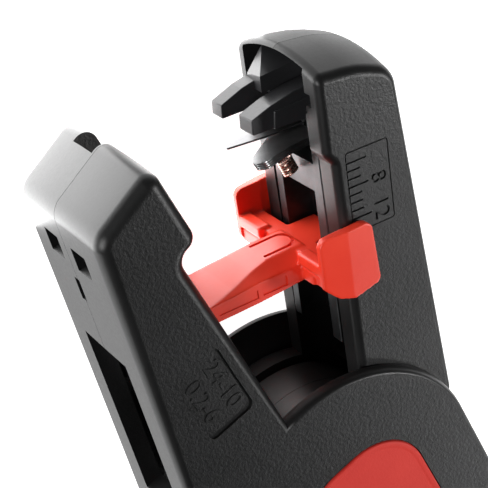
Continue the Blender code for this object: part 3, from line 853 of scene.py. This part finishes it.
def thumb_wing(side):
    """A plate beside the jaw, on its front (1) or back (-1), tapered at its inner end."""
    profile = [(-0.5, WING_IN - 0.1, 0), (3.0, WING_IN - 0.1, 0), (3.0, WING_IN, 0), (6.9, WING_IN, 0),
               (6.9, WING_OUT, 0), (3.0, WING_OUT, 0), (-0.5, WING_OUT - 0.5, 0)]
    corners = [(x, side * z, r) for x, z, r in profile]
    wing = slab("wing", corners if side > 0 else corners[::-1], 27.0, 38.0, JAW, cross=True)
    outline = slab("wing_outline", [(-0.5, 36.9, 1.1), (-0.5, 30.6, 0.8), (1.2, 28.9, 2.0), (3.2, 28.3, 0.7),
                                    (6.9, 29.2, 0.8), (6.4, 37.2, 1.1)], MID - 12, MID + 12, JAW)
    return boolean(wing, [outline], "INTERSECT")


def length_stop():
    """Saddle, tab, tongue and wings melted into one moulding, with its grooves cut last."""
    pieces = [
        block("saddle", (0.3, 29.8, MID - 8.9), (3.0, 33.0, MID + 8.9), JAW),
        block("tab", (2.5, 30.0, MID - 3.2), (6.9, 33.0, MID + 2.8), JAW),
        tongue(),
    ]
    for side in (-1, 1):
        edges = sorted((side * 4.0, side * 8.8))
        pads = sorted((side * 4.4, side * (6.5 if side > 0 else 8.9)))
        pieces.append(block("rib", (-0.5, 31.9, MID + edges[0]), (1.2, 33.5, MID + edges[1]), JAW, 0.3))
        pieces.append(block("ledge", (-0.2, 31.2, MID + edges[0]), (1.2, 31.6, MID + edges[1]), JAW))
        pieces.append(block("pad", (-0.2, 29.9, MID + pads[0]), (1.2, 31.4, MID + pads[1]), JAW, 0.2))
        pieces.append(thumb_wing(side))
    stop = pieces[0]
    boolean(stop, pieces[1:], "UNION")
    melt(stop, 0.13, 7)
    groove = slab("groove", [(-3.4, -1.85, 0), (1.6, -1.85, 1.7), (1.6, 1.85, 1.7), (-3.4, 1.85, 0)],
                  32.55, 36, JAW, cross=True)
    island = slab("island", [(-4.4, -1.35, 0), (1.1, -1.35, 1.25), (1.1, 1.35, 1.25), (-4.4, 1.35, 0)],
                  31, 37, JAW, cross=True)
    boolean(groove, [island])
    panel = block("side_panel", (-5.6, 30.0, MID + 4.05), (-2.2, 31.3, MID + 5), JAW)
    mark = block("side_mark", (-11.5, 29.9, MID + 4.08), (-6.2, 31.0, MID + 5), JAW)
    boolean(stop, [groove, panel, mark])
    thin_out(stop, 0.4)
    dress(stop, STOP_RED, "stop", "red_plastic", "length_stop", angle=50)


draw_bar()
blades()
blade_spring()
length_stop()


# Trigger lever, drawn in its open position

GRIP_OUTLINE = [
    polar(21.6, -168, 2.6),
    polar(21.6, -141, 2.6),
    (-26.5, -26.5, 12.0),
    (-60.0, -62.0, 80.0),
    (-82.5, -93.5, 6.0),
    (-101.0, -84.0, 8.0),
    (-70.0, -43.0, 80.0),
    (-36.0, -8.5, 14.0),
]
ROOT_OUTLINE = [*arc(12.5, -142, 182), polar(26.0, -167), polar(26.0, -144.5)]
CORE_OUTLINE = [*arc(11.0, -156, 172), (-28.5, -12.5, 3.0), (-33.8, -18.4, 3.0), (-28.0, -22.6, 3.0)]
TRIGGER_INLAY = [(-32.0, -20.5, 3.0), (-62.0, -56.5, 30.0), (-83.0, -85.0, 4.0), (-92.5, -80.5, 4.0),
                 (-68.0, -49.5, 30.0), (-37.0, -15.0, 3.0)]
TRIGGER_SCREWS = [(-38.6, -23.4), (-74.4, -69.6), (-84.2, -82.5)]
CORE_SLOT = 1.8          # half width of the slot that holds the steel core
ROOT_HALF = 4.9          # half thickness of the root between the cheeks


def trigger_halves():
    """Front and back mouldings of the trigger, each with half of the root between the cheeks."""
    low = MID - HALF
    high = MID + HALF
    for side in ("front", "back"):
        half = ring_solid(f"{side}_trigger_shell", GRIP_OUTLINE, half_levels(side, HALF, RIM))
        pocket = slab("pocket", grown(GRIP_OUTLINE, -WALL), low + WALL, high - WALL)
        boolean(half, [pocket])
        edges = (MID + SEAM, high - 1) if side == "front" else (low + 1, MID - SEAM)
        root = (MID + SEAM, MID + ROOT_HALF) if side == "front" else (MID - ROOT_HALF, MID - SEAM)
        added = [slab("root", ROOT_OUTLINE, *root)]
        added += [rod("boss", x, y, SCREW_BOSS_R, *edges) for x, y in TRIGGER_SCREWS]
        boolean(half, added, "UNION")
        cuts = [
            slab("core_slot", grown(CORE_OUTLINE, GAP), MID - CORE_SLOT, MID + CORE_SLOT),
            rod("bore", 0, 0, BORE_R, -2, 40),
            *screw_holes(TRIGGER_SCREWS, low, high),
            inlay_recess(TRIGGER_INLAY, side),
        ]
        if side == "front":
            cuts.append(rod("spring_well", 0, 0, 8.2, MID + 2.6, MID + 9))
        else:
            cuts += head_wells(TRIGGER_SCREWS, low)
        boolean(half, cuts)
        dress(half, BLACK, "trigger", "black_plastic", f"trigger_{side}_half")


trigger_halves()
inlay("trigger_front_red", TRIGGER_INLAY, "front", "trigger", "trigger_front_inlay")
inlay("trigger_back_red", TRIGGER_INLAY, "back", "trigger", "trigger_back_inlay")


# Floor, light and camera

def area(name, place, target, width, height, power):
    """A soft rectangular lamp, aimed at the target, with its power in watts."""
    light = bpy.data.lights.new(name, "AREA")
    light.shape = "RECTANGLE"
    light.size = width
    light.size_y = height
    light.energy = power
    lamp = bpy.data.objects.new(name, light)
    lamp.location = place
    aim = Vector(target) - Vector(place)
    lamp.rotation_euler = aim.to_track_quat("-Z", "Y").to_euler()
    bpy.context.scene.collection.objects.link(lamp)


def table(name, low, high, strength):
    """A lit patch of the floor, mirrored in the sides of the tool, with its strength in W/m2."""
    x, y = (low[0] + high[0]) / 2, (low[1] + high[1]) / 2
    width, height = high[0] - low[0], high[1] - low[1]
    area(name, (x, y, 0.0002), (x, y, 1.0), width, height, strength * width * height)


def lights():
    """Two small keys give the front its sheen, a wide lamp lights it from the left, and lit patches of the
    floor show in the sides.
    """
    area("upper_left", (-0.45, 0.30, 0.35), (0.0, 0.03, 0.01), 0.30, 0.30, 3.0)
    area("key_low", (0.28, -0.62, 0.38), (0.0, 0.01, 0.01), 0.12, 0.12, 1.0)
    area("key_high", (0.30, -0.14, 0.38), (0.0, 0.04, 0.01), 0.10, 0.10, 1.5)
    table("table_nose", (-0.060, 0.048), (0.006, 0.085), 21.0)
    table("table_stop", (0.004, 0.024), (0.024, 0.040), 15.0)
    table("table_clamp", (0.010, 0.040), (0.026, 0.062), 11.0)


def pale_floor():
    """A floor that glows a little, so that it stays white without strong lights."""
    bpy.ops.mesh.primitive_plane_add(size=6.0, location=(0, 0, -0.0004))
    floor = bpy.context.object
    floor.name = "floor"
    material, nodes, links, shader = new_material("pale_floor")
    shader.inputs["Base Color"].default_value = (0.9, 0.9, 0.9, 1.0)
    shader.inputs["Roughness"].default_value = 0.9
    shader.inputs["Emission Color"].default_value = (1.0, 1.0, 1.0, 1.0)
    shader.inputs["Emission Strength"].default_value = 1.05
    floor.data.materials.append(material)


def surroundings():
    """Nearly dark for the tool's reflections, and pale where the camera sees past the floor."""
    world = bpy.data.worlds.new("studio")
    bpy.context.scene.world = world
    world.use_nodes = True
    nodes, links = world.node_tree.nodes, world.node_tree.links
    dim = nodes["Background"]
    dim.inputs["Color"].default_value = (0.5, 0.52, 0.55, 1.0)
    dim.inputs["Strength"].default_value = 0.02
    pale = nodes.new("ShaderNodeBackground")
    pale.inputs["Color"].default_value = (1.0, 1.0, 1.0, 1.0)
    backdrop = nodes.new("ShaderNodeMixShader")
    links.new(nodes.new("ShaderNodeLightPath").outputs["Is Camera Ray"], backdrop.inputs["Fac"])
    links.new(dim.outputs["Background"], backdrop.inputs[1])
    links.new(pale.outputs["Background"], backdrop.inputs[2])
    links.new(backdrop.outputs["Shader"], nodes["World Output"].inputs["Surface"])


def camera():
    """Looks down on the head from beyond the noses."""
    data = bpy.data.cameras.new("camera")
    data.lens = 106.97
    data.sensor_width = 36.0
    data.clip_start = 0.01
    eye = bpy.data.objects.new("camera", data)
    right = Vector((0.7403, -0.4218, 0.5236)).normalized()
    back = Vector((-0.2140, 0.5906, 0.7781)).normalized()
    up = back.cross(right).normalized()
    turn = Matrix((right, up, back)).transposed().to_4x4()
    eye.matrix_world = Matrix.Translation((-0.02815, 0.13285, 0.12977 + MID * MM)) @ turn
    bpy.context.scene.collection.objects.link(eye)
    bpy.context.scene.camera = eye


pale_floor()
surroundings()
lights()
camera()
bpy.context.scene.view_settings.view_transform = "Standard"


# Finish of the CAD nodes that keep their own shape

FINISHES = {
    "clamp_plastic": CLAMP,
    "black_plastic": BLACK,
    "red_plastic": STOP_RED,
    "inlay_red": INLAY_RED,
    "blade_steel": BLADE,
    "dark_steel": DARK_STEEL,
    "bright_steel": BRIGHT_STEEL,
    "spring_wire": COPPER,
}
for part in frame["record"]["subparts"]:
    node = frame["nodes"][part["node"]]
    for socket in node.material_slots:
        socket.material = FINISHES[part["material_slot"]]
